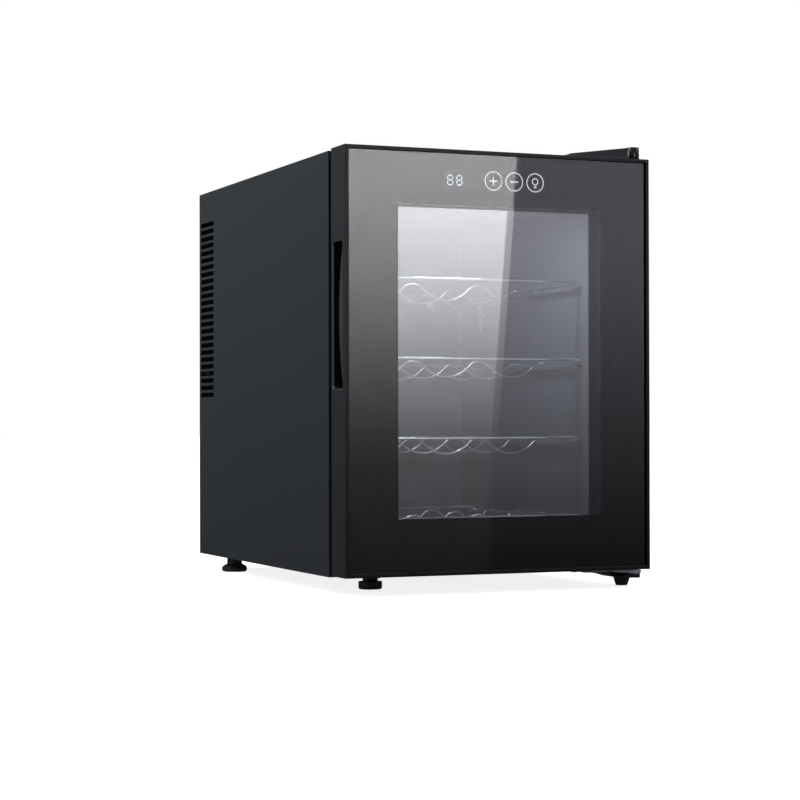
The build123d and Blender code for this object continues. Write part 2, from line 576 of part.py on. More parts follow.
# ---------------------------------------------------------------- hinges
ARM_BOTTOM = DOOR_TOP + 1.5
ARM_TOP = ARM_BOTTOM + 2.5
UPPER_PAD_X = (92.0, 168.0)
PAD_BACK = -172.0
PIN_DEPTH = 12.0      # length of pin inside the door
with BuildPart() as upper_hinge_bracket:
    with BuildSketch(Plane.YZ.offset(UPPER_PAD_X[0])):
        with BuildLine():
            Polyline((PAD_BACK, CABINET_TOP), (PAD_BACK, CABINET_TOP + 2.5),
                     (-190.5, CABINET_TOP + 2.5), (-193.5, ARM_TOP), (HINGE_Y - 6, ARM_TOP),
                     (HINGE_Y - 6, ARM_BOTTOM), (-194.5, ARM_BOTTOM), (-191.5, CABINET_TOP),
                     close=True)
        make_face()
    extrude(amount=UPPER_PAD_X[1] - UPPER_PAD_X[0])
    with BuildSketch(Plane.XY.offset(CABINET_TOP)):
        with BuildLine():
            Polyline((UPPER_PAD_X[0], PAD_BACK), (UPPER_PAD_X[1], PAD_BACK),
                     (UPPER_PAD_X[1], HINGE_Y + 4), (HINGE_X, HINGE_Y + 4),
                     (150, HINGE_Y + 12), (128, -190.5), (UPPER_PAD_X[0], -190.5), close=True)
        make_face()
        with Locations((HINGE_X, HINGE_Y)):
            Circle(5.5)
    extrude(amount=12, mode=Mode.INTERSECT)
    with BuildSketch(Plane.XY.offset(CABINET_TOP)):
        with Locations(*UPPER_SCREWS):
            Circle(SCREW_HOLE)
        with Locations((HINGE_X, HINGE_Y)):
            Circle(HINGE_PIN_RADIUS)
    extrude(amount=12, mode=Mode.SUBTRACT)
keep(upper_hinge_bracket, "upper_hinge_bracket")

with BuildPart() as upper_hinge_pin:
    with BuildSketch(Plane.XY.offset(DOOR_TOP - PIN_DEPTH + 1)):
        with Locations((HINGE_X, HINGE_Y)):
            Circle(HINGE_PIN_RADIUS)
    extrude(amount=ARM_TOP - DOOR_TOP + PIN_DEPTH - 1)
    with BuildSketch(Plane.XY.offset(ARM_TOP)):
        with Locations((HINGE_X, HINGE_Y)):
            Circle(4.4)
    extrude(amount=1.8)
keep(upper_hinge_pin, "upper_hinge_pin")

# The upper cover: a low wedge that rises towards the pin and ends in a round knuckle
COVER_BACK = -169.0
KNUCKLE_RADIUS = 7.5
KNUCKLE_TOP = 467.0
WEDGE_LEFT = 84.0
WEDGE_RIGHT = HINGE_X + KNUCKLE_RADIUS
WEDGE_WALL = 1.5
KNUCKLE_PROUD = 4.5   # how far the knuckle stands out in front of the wedge


def wedge_plan(inset):
    """Plan of the upper cover, drawn inwards by inset."""
    left = WEDGE_LEFT + inset
    right = WEDGE_RIGHT - inset
    front = HINGE_Y - KNUCKLE_RADIUS + KNUCKLE_PROUD + inset
    back = COVER_BACK - inset
    with Locations(((left + HINGE_X) / 2, (front + back) / 2)):
        Rectangle(HINGE_X - left, back - front)
    with Locations(((HINGE_X + right) / 2, (HINGE_Y + back) / 2)):
        Rectangle(right - HINGE_X, back - HINGE_Y)
    with Locations((HINGE_X, HINGE_Y)):
        Circle(KNUCKLE_RADIUS - inset)


def wedge_front(inset):
    """Front outline of the upper cover: the top slopes up to the knuckle."""
    with BuildLine() as outline:
        Polyline((WEDGE_LEFT - 5, CABINET_TOP - 5), (WEDGE_LEFT - 5, 455.6 - inset),
                 (WEDGE_LEFT, 455.8 - inset), (WEDGE_LEFT + 4, 457.6 - inset),
                 (HINGE_X - 9, 466.2 - inset), (HINGE_X - 6, KNUCKLE_TOP - inset),
                 (WEDGE_RIGHT + 5, KNUCKLE_TOP - inset), (WEDGE_RIGHT + 5, CABINET_TOP - 5),
                 close=True)
    make_face(outline.edges())


COVER_CLEAR = DOOR_TOP + 0.6
with BuildPart() as wedge_inside:
    with BuildSketch(Plane.XY.offset(CABINET_TOP - 2)):
        wedge_plan(WEDGE_WALL)
    extrude(amount=30)
    with BuildSketch(Plane.XZ):
        wedge_front(WEDGE_WALL)
    extrude(amount=400, mode=Mode.INTERSECT)

with BuildPart() as upper_hinge_cover:
    with BuildSketch(Plane.XY.offset(CABINET_TOP)):
        wedge_plan(0)
    extrude(amount=30)
    with BuildSketch(Plane.XZ):
        wedge_front(0)
    extrude(amount=400, mode=Mode.INTERSECT)
    add(wedge_inside.part, mode=Mode.SUBTRACT)
    block((0, FRONT, CABINET_TOP), (HALF_WIDTH, CABINET_FRONT + 1, COVER_CLEAR),
          mode=Mode.SUBTRACT)
keep(upper_hinge_cover, "upper_hinge_cover")

# The lower hinge: a plate under cabinet and door, its pin, and a moulded cover below it
PLATE_BOTTOM = CABINET_BOTTOM - 3.0
PLATE_LEFT = 112.0
PLATE_RIGHT = 171.5
PLATE_BACK = -160.0
FOOT_SEAT = 9.0
with BuildPart() as lower_hinge_bracket:
    with BuildSketch(Plane.XY.offset(PLATE_BOTTOM)):
        with BuildLine():
            Polyline((PLATE_LEFT, PLATE_BACK), (PLATE_RIGHT, PLATE_BACK), (PLATE_RIGHT, -208),
                     (HINGE_X + 8, HINGE_Y), (HINGE_X - 8, HINGE_Y), (HINGE_X - 18, -203),
                     (PLATE_LEFT, -192), close=True)
        make_face()
        with Locations((HINGE_X, HINGE_Y)):
            Circle(8.0)
        with Locations((HINGE_X, HINGE_Y)):
            Circle(HINGE_PIN_RADIUS, mode=Mode.SUBTRACT)
        with Locations(RIGHT_FOOT):
            Circle(FOOT_STUD + RUNNING_CLEARANCE, mode=Mode.SUBTRACT)
        with Locations(*LOWER_SCREWS):
            Circle(SCREW_HOLE, mode=Mode.SUBTRACT)
    extrude(amount=3.0)
keep(lower_hinge_bracket, "lower_hinge_bracket")

with BuildPart() as lower_hinge_pin:
    with BuildSketch(Plane.XY.offset(PLATE_BOTTOM)):
        with Locations((HINGE_X, HINGE_Y)):
            Circle(HINGE_PIN_RADIUS)
    extrude(amount=DOOR_BOTTOM + PIN_DEPTH - 1 - PLATE_BOTTOM)
    with BuildSketch(Plane.XY.offset(CABINET_BOTTOM)):
        with Locations((HINGE_X, HINGE_Y)):
            Circle(6.0)
            Circle(HINGE_PIN_RADIUS, mode=Mode.SUBTRACT)
    extrude(amount=DOOR_BOTTOM - CABINET_BOTTOM - 0.2)
keep(lower_hinge_pin, "lower_hinge_pin")

LOWER_COVER_Y = (-208.0, -176.0)
BOSS_BOTTOM = 10.0
BOSS_RADIUS = 7.0
with BuildPart() as lower_hinge_cover:
    with BuildSketch(facing(LOWER_COVER_Y[1])):
        with BuildLine():
            Line((114, PLATE_BOTTOM), (PLATE_RIGHT, PLATE_BOTTOM))
            Line((PLATE_RIGHT, PLATE_BOTTOM), (PLATE_RIGHT, FOOT_SEAT))
            Line((PLATE_RIGHT, FOOT_SEAT), (152, FOOT_SEAT))
            Spline((152, FOOT_SEAT), (137, 12.8), (114, PLATE_BOTTOM))
        make_face()
    extrude(amount=LOWER_COVER_Y[1] - LOWER_COVER_Y[0])
    with BuildSketch(Plane.XY.offset(BOSS_BOTTOM)):
        with Locations((HINGE_X, HINGE_Y)):
            Circle(BOSS_RADIUS)
        with Locations((HINGE_X, (HINGE_Y + LOWER_COVER_Y[0]) / 2)):
            Rectangle(2 * BOSS_RADIUS, LOWER_COVER_Y[0] - HINGE_Y)
    extrude(amount=PLATE_BOTTOM - BOSS_BOTTOM)
    with BuildSketch(Plane.XY.offset(FOOT_SEAT)):
        with Locations(RIGHT_FOOT):
            Circle(FOOT_STUD + RUNNING_CLEARANCE)
    extrude(amount=PLATE_BOTTOM - FOOT_SEAT, mode=Mode.SUBTRACT)
keep(lower_hinge_cover, "lower_hinge_cover")

with BuildPart() as hinge_screws:
    screws([(x, y, CABINET_TOP + 2.5) for x, y in UPPER_SCREWS],
           (0, 0, 1), 14)
    screws([(x, y, PLATE_BOTTOM) for x, y in LOWER_SCREWS],
           (0, 0, -1), 14)
keep(hinge_screws, "hinge_screws")

# ---------------------------------------------------------------- feet
REAR_FOOT_PLACES = [(-152.0, 174.0), (152.0, 174.0)]
with BuildPart() as rear_feet:
    for foot_x, foot_y in REAR_FOOT_PLACES:
        with BuildSketch(Plane(origin=(foot_x, foot_y, 0), x_dir=(1, 0, 0), z_dir=(0, -1, 0))):
            with BuildLine():
                Polyline((0, 0), (13.2, 0), (14.7, 1.5), (14.7, 5.0), (13.0, 7.0), (9.0, 9.0),
                         (8.4, FOOT_HEIGHT), (0, FOOT_HEIGHT), close=True)
            make_face()
        revolve(axis=Axis((foot_x, foot_y, 0), (0, 0, 1)))
keep(rear_feet, "rear_feet")

SOCKET_BOTTOM = 11.5
with BuildPart() as foot_socket:
    with BuildSketch(Plane.XY.offset(SOCKET_BOTTOM)):
        with Locations(LEFT_FOOT):
            RegularPolygon(12.0, 6)
            Circle(FOOT_STUD + RUNNING_CLEARANCE, mode=Mode.SUBTRACT)
    extrude(amount=CABINET_BOTTOM - SOCKET_BOTTOM)
keep(foot_socket, "foot_socket")

with BuildPart() as front_foot_left:
    with BuildSketch(Plane.XY):
        with Locations(LEFT_FOOT):
            Circle(12.5)
    extrude(amount=8.0)
    chamfer(front_foot_left.edges().group_by(Axis.Z)[0], length=1.2)
    with BuildSketch(Plane.XY.offset(8.0)):
        with Locations(LEFT_FOOT):
            Circle(8.0)
    extrude(amount=SOCKET_BOTTOM - 8.0)
    with BuildSketch(Plane.XY.offset(SOCKET_BOTTOM)):
        with Locations(LEFT_FOOT):
            Circle(FOOT_STUD)
    extrude(amount=FOOT_STUD_TOP - SOCKET_BOTTOM)
keep(front_foot_left, "front_foot_left")

with BuildPart() as front_foot_right:
    with BuildSketch(Plane(origin=(*RIGHT_FOOT, 0), x_dir=(1, 0, 0), z_dir=(0, -1, 0))):
        with BuildLine():
            Polyline((0, 0), (5.8, 0), (6.5, 0.8), (9.2, FOOT_SEAT), (FOOT_STUD, FOOT_SEAT),
                     (FOOT_STUD, CABINET_BOTTOM - 0.5), (0, CABINET_BOTTOM - 0.5), close=True)
        make_face()
    revolve(axis=Axis((*RIGHT_FOOT, 0), (0, 0, 1)))
keep(front_foot_right, "front_foot_right")

# ---------------------------------------------------------------- door
DOOR_MIDDLE = (DOOR_TOP + DOOR_BOTTOM) / 2
DOOR_HEIGHT = DOOR_TOP - DOOR_BOTTOM
LIP = 4.3
GLASS_X = HALF_WIDTH - LIP
GLASS_BOTTOM = DOOR_BOTTOM + 4.0
GLASS_TOP = DOOR_TOP - 4.0
GLASS_HEIGHT = GLASS_TOP - GLASS_BOTTOM
GLASS_MIDDLE = (GLASS_TOP + GLASS_BOTTOM) / 2
GLASS_FRONT = FRONT + 0.2
MASK_FRONT = GLASS_FRONT + 4.0
MASK_BACK = MASK_FRONT + 0.3
SEAT_BACK = MASK_BACK + 2.0
INNER_FRAME_FRONT = DOOR_BACK - 2.0
WINDOW_X = 114.5
WINDOW_Z = (78.0, 395.5)
WINDOW_MIDDLE = (WINDOW_Z[0] + WINDOW_Z[1]) / 2
WINDOW_HEIGHT = WINDOW_Z[1] - WINDOW_Z[0]
SPACER_BACK = MASK_BACK + 12.0
REAR_GLASS_BACK = SPACER_BACK + 3.0
RECESS_Y = (-240.5, -211.0)
RECESS_Z = (207.5, 358.5)
RECESS_DEPTH = 20.0
BUSH_RADIUS = 5.0


def ring(y_back, thickness, outer, inner, middle):
    """A rectangular ring across the door; outer and inner are (width, height)."""
    with BuildSketch(facing(y_back)) as section:
        with Locations((0, middle)):
            Rectangle(*outer)
            Rectangle(*inner, mode=Mode.SUBTRACT)
    extrude(section.sketch, amount=thickness)


with BuildPart() as door_frame:
    ring(DOOR_BACK, DOOR_THICKNESS, (WIDTH, DOOR_HEIGHT), (2 * GLASS_X, GLASS_HEIGHT), DOOR_MIDDLE)
    chamfer(door_frame.edges().group_by(Axis.Y)[0].filter_by(
        lambda e: e.length > GLASS_HEIGHT + 5 or 2 * GLASS_X + 5 < e.length < WIDTH + 1), length=1.0)
    ring(SEAT_BACK, SEAT_BACK - MASK_BACK, (2 * GLASS_X, GLASS_HEIGHT),
         (2 * GLASS_X - 12, GLASS_HEIGHT - 12), GLASS_MIDDLE)
    block((-HALF_WIDTH, RECESS_Y[0], RECESS_Z[0]), (-GLASS_X + 8, RECESS_Y[1], RECESS_Z[1]),
          mode=Mode.SUBTRACT)
    with BuildSketch(Plane.XY.offset(DOOR_BOTTOM)):
        with Locations((HINGE_X, HINGE_Y)):
            Circle(BUSH_RADIUS)
    extrude(amount=DOOR_HEIGHT, mode=Mode.SUBTRACT)
keep(door_frame, "door_frame")

with BuildPart() as door_glass_front:
    block((-GLASS_X, GLASS_FRONT, GLASS_BOTTOM), (GLASS_X, MASK_FRONT, GLASS_TOP))
keep(door_glass_front, "door_glass_front")

# Printed border behind the glass, with a clear window, a display window and three touch icons
DISPLAY_CENTRE = (-51.6, 421.8)
DISPLAY_WINDOW = (20.0, 16.0)
ICON_MIDDLE = (15.6, 422.8)
ICON_PITCH = 23.8
ICON_CENTRES = [(ICON_MIDDLE[0] + step * ICON_PITCH, ICON_MIDDLE[1]) for step in (-1, 0, 1)]
ICON_RADIUS = 9.9
ICON_LINE = 1.0


def touch_icons_sketch(ink, paper):
    """Three ringed icons, plus, minus and lamp; ink and paper are the two sketch modes."""
    with Locations(*ICON_CENTRES):
        Circle(ICON_RADIUS, mode=ink)
        Circle(ICON_RADIUS - ICON_LINE, mode=paper)
    with Locations(*ICON_CENTRES[:2]):
        Rectangle(9.0, 1.3, mode=ink)
    with Locations(ICON_CENTRES[0]):
        Rectangle(1.3, 9.0, mode=ink)
    lamp_x, lamp_z = ICON_CENTRES[2]
    with Locations((lamp_x, lamp_z + 1.2)):
        Circle(3.6, mode=ink)
        Circle(2.7, mode=paper)
    with Locations((lamp_x, lamp_z - 3.6), (lamp_x, lamp_z - 5.2)):
        Rectangle(3.2, 0.8, mode=ink)


with BuildPart() as glass_mask:
    with BuildSketch(facing(MASK_BACK)):
        with Locations((0, GLASS_MIDDLE)):
            Rectangle(2 * GLASS_X, GLASS_HEIGHT)
        with Locations((0, WINDOW_MIDDLE)):
            Rectangle(2 * WINDOW_X, WINDOW_HEIGHT, mode=Mode.SUBTRACT)
        with Locations(DISPLAY_CENTRE):
            Rectangle(*DISPLAY_WINDOW, mode=Mode.SUBTRACT)
        touch_icons_sketch(Mode.SUBTRACT, Mode.ADD)
    extrude(amount=MASK_BACK - MASK_FRONT)
keep(glass_mask, "glass_mask")

with BuildPart() as touch_icons:
    with BuildSketch(facing(MASK_BACK)):
        touch_icons_sketch(Mode.ADD, Mode.SUBTRACT)
    extrude(amount=MASK_BACK - MASK_FRONT)
keep(touch_icons, "touch_icons")

# Two seven-segment digits, each an upright 8, let into the face of the display module
DISPLAY_BACK = MASK_BACK + 6.0
MODULE_HALF = (11.0, 9.0)
DIGIT_SIZE = (6.6, 10.6)
DIGIT_PITCH = 10.2
DIGIT_DEPTH = 0.3
SEGMENT = 1.0
SEGMENT_GAP = 0.25
with BuildPart() as display_digits:
    side_offset = (DIGIT_SIZE[0] - SEGMENT) / 2
    bar_offset = (DIGIT_SIZE[1] - SEGMENT) / 2
    bar_length = DIGIT_SIZE[0] - 2 * SEGMENT - 2 * SEGMENT_GAP
    post_length = bar_offset - SEGMENT - 2 * SEGMENT_GAP
    with BuildSketch(facing(MASK_FRONT + DIGIT_DEPTH)):
        for digit in (-1, 1):
            x_mid = DISPLAY_CENTRE[0] + digit * DIGIT_PITCH / 2
            z_mid = DISPLAY_CENTRE[1]
            with Locations(*[(x_mid, z_mid + dz) for dz in (-bar_offset, 0, bar_offset)]):
                Rectangle(bar_length, SEGMENT)
            with Locations(*[(x_mid + dx, z_mid + dz) for dx in (-side_offset, side_offset)
                             for dz in (-bar_offset / 2, bar_offset / 2)]):
                Rectangle(SEGMENT, post_length)
    extrude(amount=DIGIT_DEPTH)
keep(display_digits, "display_digits")

with BuildPart() as display_module:
    block((DISPLAY_CENTRE[0] - MODULE_HALF[0], MASK_BACK, DISPLAY_CENTRE[1] - MODULE_HALF[1]),
          (DISPLAY_CENTRE[0] + MODULE_HALF[0], DISPLAY_BACK, DISPLAY_CENTRE[1] + MODULE_HALF[1]))
    with BuildSketch(facing(MASK_BACK)):
        with Locations(DISPLAY_CENTRE):
            Rectangle(*DISPLAY_WINDOW)
    extrude(amount=MASK_BACK - MASK_FRONT)
    add(display_digits.part, mode=Mode.SUBTRACT)
keep(display_module, "display_module")

CONTROL_X = (-85.0, 60.0)
CONTROL_Z = (406.0, 438.0)
with BuildPart() as control_board:
    block((CONTROL_X[0], DISPLAY_BACK, CONTROL_Z[0]),
          (CONTROL_X[1], DISPLAY_BACK + BOARD_THICKNESS, CONTROL_Z[1]))
keep(control_board, "control_board")

with BuildPart() as touch_springs:
    with BuildSketch(facing(DISPLAY_BACK)):
        with Locations(*ICON_CENTRES):
            Circle(5.0)
            Circle(4.0, mode=Mode.SUBTRACT)
    extrude(amount=DISPLAY_BACK - MASK_BACK - 0.1)
keep(touch_springs, "touch_springs")

SPACER_WIDTH = 8.0
with BuildPart() as glass_spacer:
    ring(SPACER_BACK, SPACER_BACK - MASK_BACK,
         (2 * (WINDOW_X + 1 + SPACER_WIDTH), WINDOW_HEIGHT + 2 + 2 * SPACER_WIDTH),
         (2 * (WINDOW_X + 1), WINDOW_HEIGHT + 2), WINDOW_MIDDLE)
keep(glass_spacer, "glass_spacer")

REAR_GLASS = (2 * (WINDOW_X + 12.5), WINDOW_HEIGHT + 22)
with BuildPart() as door_glass_rear:
    with BuildSketch(facing(REAR_GLASS_BACK)):
        with Locations((0, WINDOW_MIDDLE)):
            Rectangle(*REAR_GLASS)
    extrude(amount=REAR_GLASS_BACK - SPACER_BACK)
keep(door_glass_rear, "door_glass_rear")

COLLAR_INSIDE = (2 * WINDOW_X + 7, WINDOW_HEIGHT + 7)
COLLAR_OUTSIDE = (COLLAR_INSIDE[0] + 4, COLLAR_INSIDE[1] + 4)
with BuildPart() as door_inner_frame:
    ring(DOOR_BACK, DOOR_BACK - INNER_FRAME_FRONT, (2 * GLASS_X, GLASS_HEIGHT), COLLAR_INSIDE,
         GLASS_MIDDLE)
    with BuildSketch(facing(DOOR_BACK)):
        with Locations((0, WINDOW_MIDDLE)):
            Rectangle(*COLLAR_OUTSIDE)
    extrude(amount=DOOR_BACK - REAR_GLASS_BACK)
    with BuildSketch(facing(DOOR_BACK)):
        with Locations((0, WINDOW_MIDDLE)):
            Rectangle(*COLLAR_INSIDE)
    extrude(amount=DOOR_BACK - REAR_GLASS_BACK, mode=Mode.SUBTRACT)
keep(door_inner_frame, "door_inner_frame")

with BuildPart() as door_foam:
    ring(INNER_FRAME_FRONT, INNER_FRAME_FRONT - SEAT_BACK, (2 * GLASS_X, GLASS_HEIGHT),
         (REAR_GLASS[0] + 1, REAR_GLASS[1] + 1), GLASS_MIDDLE)
    block((-GLASS_X, RECESS_Y[0], RECESS_Z[0]),
          (-HALF_WIDTH + RECESS_DEPTH, RECESS_Y[1], RECESS_Z[1]), mode=Mode.SUBTRACT)
    block((CONTROL_X[0] - 1, SEAT_BACK, CONTROL_Z[0] - 1),
          (CONTROL_X[1] + 1, DISPLAY_BACK + BOARD_THICKNESS + 1, CONTROL_Z[1] + 1),
          mode=Mode.SUBTRACT)
    with BuildSketch(Plane.XY.offset(GLASS_BOTTOM)):
        with Locations((HINGE_X, HINGE_Y)):
            Circle(BUSH_RADIUS)
    extrude(amount=GLASS_HEIGHT, mode=Mode.SUBTRACT)
keep(door_foam, "door_foam")

GASKET_BACK = CABINET_FRONT - 0.3
GASKET_X = 132.0
GASKET_Z = (42.0, 418.0)
GASKET_WIDTH = 12.0
MAGNET_WIDTH = 8.0
MAGNET_THICKNESS = 2.6
GASKET_MIDDLE = (GASKET_Z[0] + GASKET_Z[1]) / 2
GASKET_HEIGHT = GASKET_Z[1] - GASKET_Z[0]


def gasket_ring(y_back, thickness, width):
    """A ring of the given width that runs along the gasket's centre line."""
    ring(y_back, thickness, (2 * GASKET_X + width, GASKET_HEIGHT + width),
         (2 * GASKET_X - width, GASKET_HEIGHT - width), GASKET_MIDDLE)


with BuildPart() as magnet_space:
    gasket_ring(DOOR_BACK + MAGNET_THICKNESS, MAGNET_THICKNESS, MAGNET_WIDTH)

with BuildPart() as door_gasket:
    gasket_ring(GASKET_BACK, GASKET_BACK - DOOR_BACK, GASKET_WIDTH)
    fillet(door_gasket.edges().group_by(Axis.Y)[-1], radius=1.5)
    add(magnet_space.part, mode=Mode.SUBTRACT)
keep(door_gasket, "door_gasket")

with BuildPart() as gasket_magnet:
    add(magnet_space.part)
keep(gasket_magnet, "gasket_magnet")

CUP_WALL = 1.6
MOUTH_BEVEL = 0.9
CUP_FLOOR_X = -HALF_WIDTH + RECESS_DEPTH
with BuildPart() as handle_cup:
    block((-HALF_WIDTH, RECESS_Y[0], RECESS_Z[0]), (CUP_FLOOR_X, RECESS_Y[1], RECESS_Z[1]))
    with BuildSketch(Plane.YZ.offset(-HALF_WIDTH)):
        with Locations((sum(RECESS_Y) / 2, sum(RECESS_Z) / 2)):
            RectangleRounded(RECESS_Y[1] - RECESS_Y[0] - 2 * CUP_WALL,
                             RECESS_Z[1] - RECESS_Z[0] - 2 * CUP_WALL, 4.0)
    extrude(amount=RECESS_DEPTH - CUP_WALL, mode=Mode.SUBTRACT)
    with BuildSketch(Plane.YZ.offset(-HALF_WIDTH)):
        with Locations((sum(RECESS_Y) / 2, sum(RECESS_Z) / 2)):
            RectangleRounded(RECESS_Y[1] - RECESS_Y[0] - 2 * (CUP_WALL - MOUTH_BEVEL),
                             RECESS_Z[1] - RECESS_Z[0] - 2 * (CUP_WALL - MOUTH_BEVEL),
                             4.0 + MOUTH_BEVEL)
    extrude(amount=MOUTH_BEVEL, taper=45, mode=Mode.SUBTRACT)
keep(handle_cup, "handle_cup")

# The grip lip: bowed, widest at mid height, where the fingers pull
GRIP_EDGE = (-236.0, -225.9)      # the lip's edge at its ends and at its middle
GRIP_Z = (RECESS_Z[0] + CUP_WALL + 4.0, RECESS_Z[1] - CUP_WALL - 4.0)
GRIP_THICKNESS = 2.4
GRIP_SET_BACK = 1.2
with BuildPart() as handle_grip:
    with BuildSketch(Plane.YZ.offset(-HALF_WIDTH + GRIP_SET_BACK)):
        with BuildLine():
            edge_line = ThreePointArc((GRIP_EDGE[0], GRIP_Z[0]),
                                      (GRIP_EDGE[1], sum(GRIP_Z) / 2),
                                      (GRIP_EDGE[0], GRIP_Z[1]))
            Polyline(edge_line @ 1, (RECESS_Y[0] + CUP_WALL, GRIP_Z[1]),
                     (RECESS_Y[0] + CUP_WALL, GRIP_Z[0]), edge_line @ 0)
        make_face()
    extrude(amount=GRIP_THICKNESS)
    fillet(handle_grip.edges().filter_by(GeomType.CIRCLE), radius=0.8)
keep(handle_grip, "handle_grip")

with BuildPart() as hinge_bushes:
    for bush_bottom in (DOOR_BOTTOM, DOOR_TOP - PIN_DEPTH):
        with BuildSketch(Plane.XY.offset(bush_bottom)):
            with Locations((HINGE_X, HINGE_Y)):
                Circle(BUSH_RADIUS)
                Circle(HINGE_PIN_RADIUS + RUNNING_CLEARANCE, mode=Mode.SUBTRACT)
        extrude(amount=PIN_DEPTH)
keep(hinge_bushes, "hinge_bushes")

# ---------------------------------------------------------------- shelves
CREST_RADIUS_SUM = ((BOTTLE_PITCH / 2)**2 + WAVE_DROP**2) / (2 * WAVE_DROP)
CREST_RADIUS = CREST_RADIUS_SUM - TROUGH_RADIUS
JOIN_ANGLE = math.asin(BOTTLE_PITCH / 2 / CREST_RADIUS_SUM)
END_TAIL = 2.0


def wave_path(y, crest_z):
    """The centre line of one waved wire: arcs over the crests and under the bottles."""
    run = CREST_RADIUS * math.sin(JOIN_ANGLE)
    join_z = crest_z - CREST_RADIUS * (1 - math.cos(JOIN_ANGLE))
    half = JOIN_ANGLE / 2
    half_run = CREST_RADIUS * math.sin(half)
    half_z = crest_z - CREST_RADIUS * (1 - math.cos(half))
    with BuildLine(facing(y)) as path:
        Line((-SIDE_ROD_X - END_TAIL, crest_z), (-SIDE_ROD_X, crest_z))
        ThreePointArc((-SIDE_ROD_X, crest_z), (-SIDE_ROD_X + half_run, half_z),
                      (-SIDE_ROD_X + run, join_z))
        for trough in (-1, 0, 1):
            middle = trough * BOTTLE_PITCH
            reach = BOTTLE_PITCH / 2 - run
            ThreePointArc((middle - reach, join_z), (middle, crest_z - WAVE_DROP),
                          (middle + reach, join_z))
            if trough < 1:
                crest = middle + BOTTLE_PITCH / 2
                ThreePointArc((crest - run, join_z), (crest, crest_z), (crest + run, join_z))
        ThreePointArc((SIDE_ROD_X - run, join_z), (SIDE_ROD_X - half_run, half_z),
                      (SIDE_ROD_X, crest_z))
        Line((SIDE_ROD_X, crest_z), (SIDE_ROD_X + END_TAIL, crest_z))
    return path.line


def shelf(number):
    """One bottle shelf of welded wire."""
    crest_z = bar_height(number)
    rod_z = side_rod_height(number)
    bar_z = rod_z + 2 * ROD_RADIUS + WELD_GAP
    rod_length = SHELF_BACK - SHELF_FRONT + 2 * ROD_RADIUS
    with BuildPart() as piece:
        for side in (-1, 1):
            rod_along("y", (side * SIDE_ROD_X, (SHELF_BACK + SHELF_FRONT) / 2, rod_z),
                      ROD_RADIUS, rod_length)
        for bar_y in (SHELF_FRONT, SHELF_BACK):
            rod_along("x", (0, bar_y, bar_z), ROD_RADIUS, 2 * (SIDE_ROD_X + END_TAIL))
        for wave_y in WAVE_YS:
            line = wave_path(wave_y, crest_z)
            with BuildSketch(Plane(origin=line @ 0, z_dir=line % 0)):
                Circle(WAVE_RADIUS)
            sweep(path=line)
    keep(piece, f"shelf_{number}")


for shelf_index in range(1, SHELF_COUNT + 1):
    shelf(shelf_index)
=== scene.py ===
"""Looks for a countertop wine cooler: materials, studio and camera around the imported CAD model.

Metres, in the model's own frame: +X right, +Y back, +Z up, feet on Z = 0.
"""
import json
import math

import bpy
from mathutils import Matrix, Vector


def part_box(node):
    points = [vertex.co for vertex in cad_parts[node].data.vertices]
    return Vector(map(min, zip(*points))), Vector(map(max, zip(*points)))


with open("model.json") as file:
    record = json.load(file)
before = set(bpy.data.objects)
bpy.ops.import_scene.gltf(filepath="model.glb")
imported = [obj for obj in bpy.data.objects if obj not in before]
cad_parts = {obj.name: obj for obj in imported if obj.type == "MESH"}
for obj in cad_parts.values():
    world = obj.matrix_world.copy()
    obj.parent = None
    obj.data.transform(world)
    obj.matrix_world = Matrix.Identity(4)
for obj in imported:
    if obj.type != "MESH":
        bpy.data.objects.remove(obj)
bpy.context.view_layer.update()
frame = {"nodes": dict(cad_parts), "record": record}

scene = bpy.context.scene
scene.view_settings.view_transform = "Standard"
scene.view_settings.look = "None"


# ---------------------------------------------------------------- camera
CAMERA_PLACE = (-0.9174, -2.1908, 0.1726)
CAMERA_TURN = (22.46, 0.68, -0.126)     # yaw, pitch and roll in degrees
CAMERA_LENS = 94.2


def add_camera():
    """The camera stands low, in front and to the left, and looks almost level."""
    yaw, pitch, roll = [math.radians(degrees) for degrees in CAMERA_TURN]
    forward = Vector((math.sin(yaw) * math.cos(pitch), math.cos(yaw) * math.cos(pitch),
                      math.sin(pitch)))
    level = Vector((math.cos(yaw), -math.sin(yaw), 0))
    upward = level.cross(forward)
    right = level * math.cos(roll) + upward * math.sin(roll)
    up = upward * math.cos(roll) - level * math.sin(roll)
    data = bpy.data.cameras.new("camera")
    data.sensor_width = 36
    data.lens = CAMERA_LENS
    data.clip_end = 100
    camera = bpy.data.objects.new("camera", data)
    turn = Matrix((right, up, -forward)).transposed().to_4x4()
    camera.matrix_world = Matrix.Translation(CAMERA_PLACE) @ turn
    scene.collection.objects.link(camera)
    scene.camera = camera


add_camera()


# ---------------------------------------------------------------- node helpers
def add_node(tree, kind, **values):
    """A shader node with its properties or input defaults set by name."""
    node = tree.nodes.new(kind)
    for name, value in values.items():
        if name in node.inputs:
            node.inputs[name].default_value = value
        else:
            setattr(node, name, value)
    return node


def reflected(tree):
    """1 on a light path that has been mirrored at least once, else 0."""
    path = add_node(tree, "ShaderNodeLightPath")
    test = add_node(tree, "ShaderNodeMath", operation="GREATER_THAN")
    test.inputs[1].default_value = 0.5
    tree.links.new(path.outputs["Glossy Depth"], test.inputs[0])
    return test.outputs["Value"]


def new_material(name):
    """An empty node material; returns it with its tree, Principled shader and output."""
    material = bpy.data.materials.new(name)
    material.use_nodes = True
    tree = material.node_tree
    shader = tree.nodes["Principled BSDF"]
    return material, tree, shader, tree.nodes["Material Output"]


